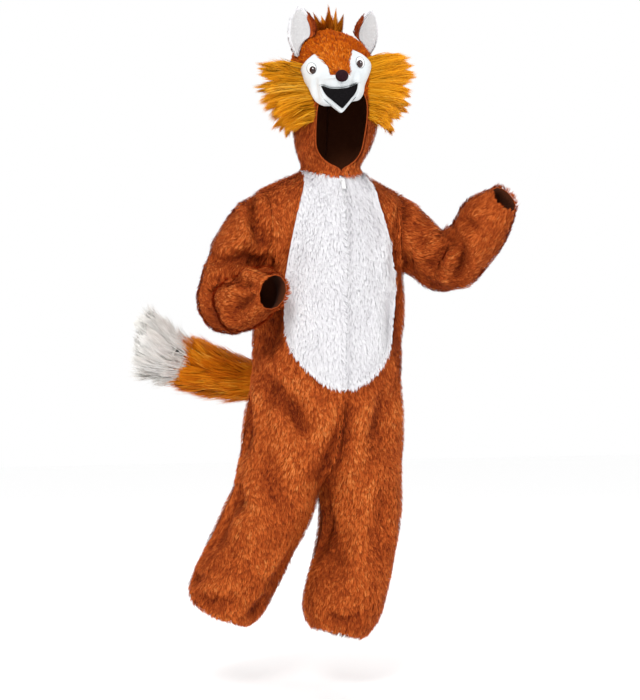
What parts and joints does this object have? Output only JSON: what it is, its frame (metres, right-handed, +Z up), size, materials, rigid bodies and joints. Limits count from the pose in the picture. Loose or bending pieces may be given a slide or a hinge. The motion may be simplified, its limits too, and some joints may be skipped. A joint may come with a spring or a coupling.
{
  "type": "fox costume",
  "caption": "Plush fox jumpsuit with a hood, padded fox face, cheek ruffs, white belly, front zip and a long-haired tail, in its worn shape.",
  "frame": {"origin": "middle of the neckline, between the wearer's shoulders, which hold the costume", "axes": "+Z up, the costume faces -Y, +X is its wearer's left"},
  "size_m": [0.7371, 0.4833, 1.3175],
  "materials": {
    "brown_plush": "short brown plush pile on a knitted back",
    "white_plush": "white plush pile on a knitted back",
    "brown_fur": "brown plush, a little longer",
    "white_lining": "short white plush",
    "white_velour": "short white velour over padding",
    "black_felt": "black felt",
    "black_velour": "black velour over a stuffed ball",
    "eye_plastic": "smooth moulded eye",
    "golden_fur": "long golden fur",
    "tail_fur": "long orange fur over stuffing",
    "tail_tip_fur": "long off-white fur over stuffing",
    "zip_tape": "white moulded zip teeth on tape",
    "zip_plastic": "white plastic"
  },
  "bodies": {
    "costume": {"back_left": "brown_plush", "back_right": "brown_plush", "belly_left": "white_plush", "belly_right": "white_plush", "bridge": "brown_fur", "ear_left": "brown_fur", "ear_lining_left": "white_lining", "ear_lining_right": "white_lining", "ear_right": "brown_fur", "eye_left": "eye_plastic", "eye_right": "eye_plastic", "front_left": "brown_plush", "front_right": "brown_plush", "hood_left": "brown_plush", "hood_right": "brown_plush", "jaw": "white_velour", "mask_left": "white_velour", "mask_right": "white_velour", "mouth": "black_felt", "nose": "black_velour", "ruff_left": "golden_fur", "ruff_right": "golden_fur", "sleeve_left": "brown_plush", "sleeve_right": "brown_plush", "tail": "tail_fur", "tail_tip": "tail_tip_fur", "tuft": "brown_fur", "zip_chain": "zip_tape", "zip_slider": "zip_plastic"},
    "pull_tab": {"zip_pull": "zip_plastic"}
  },
  "joints": [
    {"name": "pull_tab_hinge", "type": "hinge", "parent": "costume", "child": "pull_tab", "pos_m": [0, -0.08914, -0.02444], "axis": [-1, 0, 0], "range_deg": [0, 110]}
  ]
}
